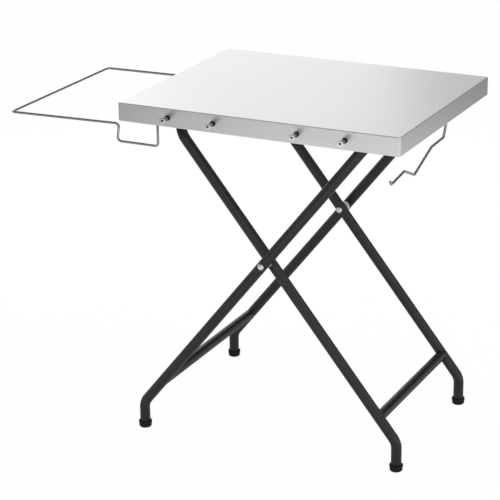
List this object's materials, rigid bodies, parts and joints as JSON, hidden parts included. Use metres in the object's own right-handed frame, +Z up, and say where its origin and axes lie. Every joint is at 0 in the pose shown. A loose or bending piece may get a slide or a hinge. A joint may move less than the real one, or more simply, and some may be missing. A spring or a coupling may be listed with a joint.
{
  "type": "folding grill table",
  "caption": "Folding grill table: a stainless steel tray top on a black folding X frame, with tool pegs, a wire bag holder and a wire roll holder.",
  "frame": {"origin": "Middle of the overall bounding box at floor level, with the four feet on z = 0.", "axes": "+X runs along the front of the table from the bag holder to the roll holder, +Y runs from the pegs to the back, +Z is up."},
  "size_m": [1.0309, 0.586, 0.832],
  "materials": {
    "stainless_sheet": "satin stainless sheet",
    "black_tube": "black powder coat, low gloss",
    "bright_steel": "bright turned steel",
    "wire_steel": "plated wire",
    "zinc_steel": "zinc plated, dull",
    "black_rubber": "matt moulded rubber",
    "black_nylon": "matt moulded nylon",
    "white_nylon": "natural white nylon"
  },
  "bodies": {
    "tabletop": {"tray_top": "stainless_sheet", "stiffener_front": "zinc_steel", "stiffener_back": "zinc_steel", "hinge_bracket_front": "zinc_steel", "hinge_bracket_back": "zinc_steel", "bar_clip_front": "black_nylon", "bar_clip_back": "black_nylon", "bag_socket_front": "zinc_steel", "bag_socket_back": "zinc_steel", "paper_socket": "zinc_steel", "peg_1": "bright_steel", "peg_2": "bright_steel", "peg_3": "bright_steel", "peg_4": "bright_steel", "peg_collar_1": "black_nylon", "peg_collar_2": "black_nylon", "peg_collar_3": "black_nylon", "peg_collar_4": "black_nylon", "peg_nut_1": "zinc_steel", "peg_nut_2": "zinc_steel", "peg_nut_3": "zinc_steel", "peg_nut_4": "zinc_steel"},
    "outer_frame": {"outer_leg_front": "black_tube", "outer_leg_back": "black_tube", "outer_crossbar": "black_tube", "hinge_rod": "black_tube", "tube_plug_front": "black_nylon", "tube_plug_back": "black_nylon", "foot_cap_outer_front": "black_rubber", "foot_cap_outer_back": "black_rubber", "pivot_bolt_front": "bright_steel", "pivot_bolt_back": "bright_steel", "pivot_nut_front": "bright_steel", "pivot_nut_back": "bright_steel", "pivot_spacer_front": "white_nylon", "pivot_spacer_back": "white_nylon"},
    "inner_frame": {"inner_frame_tube": "black_tube", "inner_crossbar": "black_tube", "foot_cap_inner_front": "black_rubber", "foot_cap_inner_back": "black_rubber"},
    "bag_holder": {"bag_holder": "wire_steel"},
    "paper_holder": {"paper_holder": "wire_steel"}
  },
  "joints": [
    {"name": "leg_fold", "type": "hinge", "parent": "tabletop", "child": "outer_frame", "pos_m": [0.4059, 0.013, 0.7725], "axis": [0, 1, 0], "range_deg": [0, 46.7]},
    {"name": "leg_scissor", "type": "hinge", "parent": "outer_frame", "child": "inner_frame", "pos_m": [0.1655, 0.013, 0.473], "axis": [0, -1, 0], "range_deg": [0, 93.4]},
    {"name": "bag_holder_pull", "type": "slide", "parent": "tabletop", "child": "bag_holder", "axis": [0, 0, -1], "range_m": [0, 0.03]},
    {"name": "paper_holder_swivel", "type": "hinge", "parent": "tabletop", "child": "paper_holder", "pos_m": [0.4985, 0.0553, 0.8307], "axis": [0, 0, 1], "range_deg": [0, 90]}
  ],
  "couplings": [
    {"joint": "leg_scissor", "follows": "leg_fold", "ratio": 2}
  ]
}
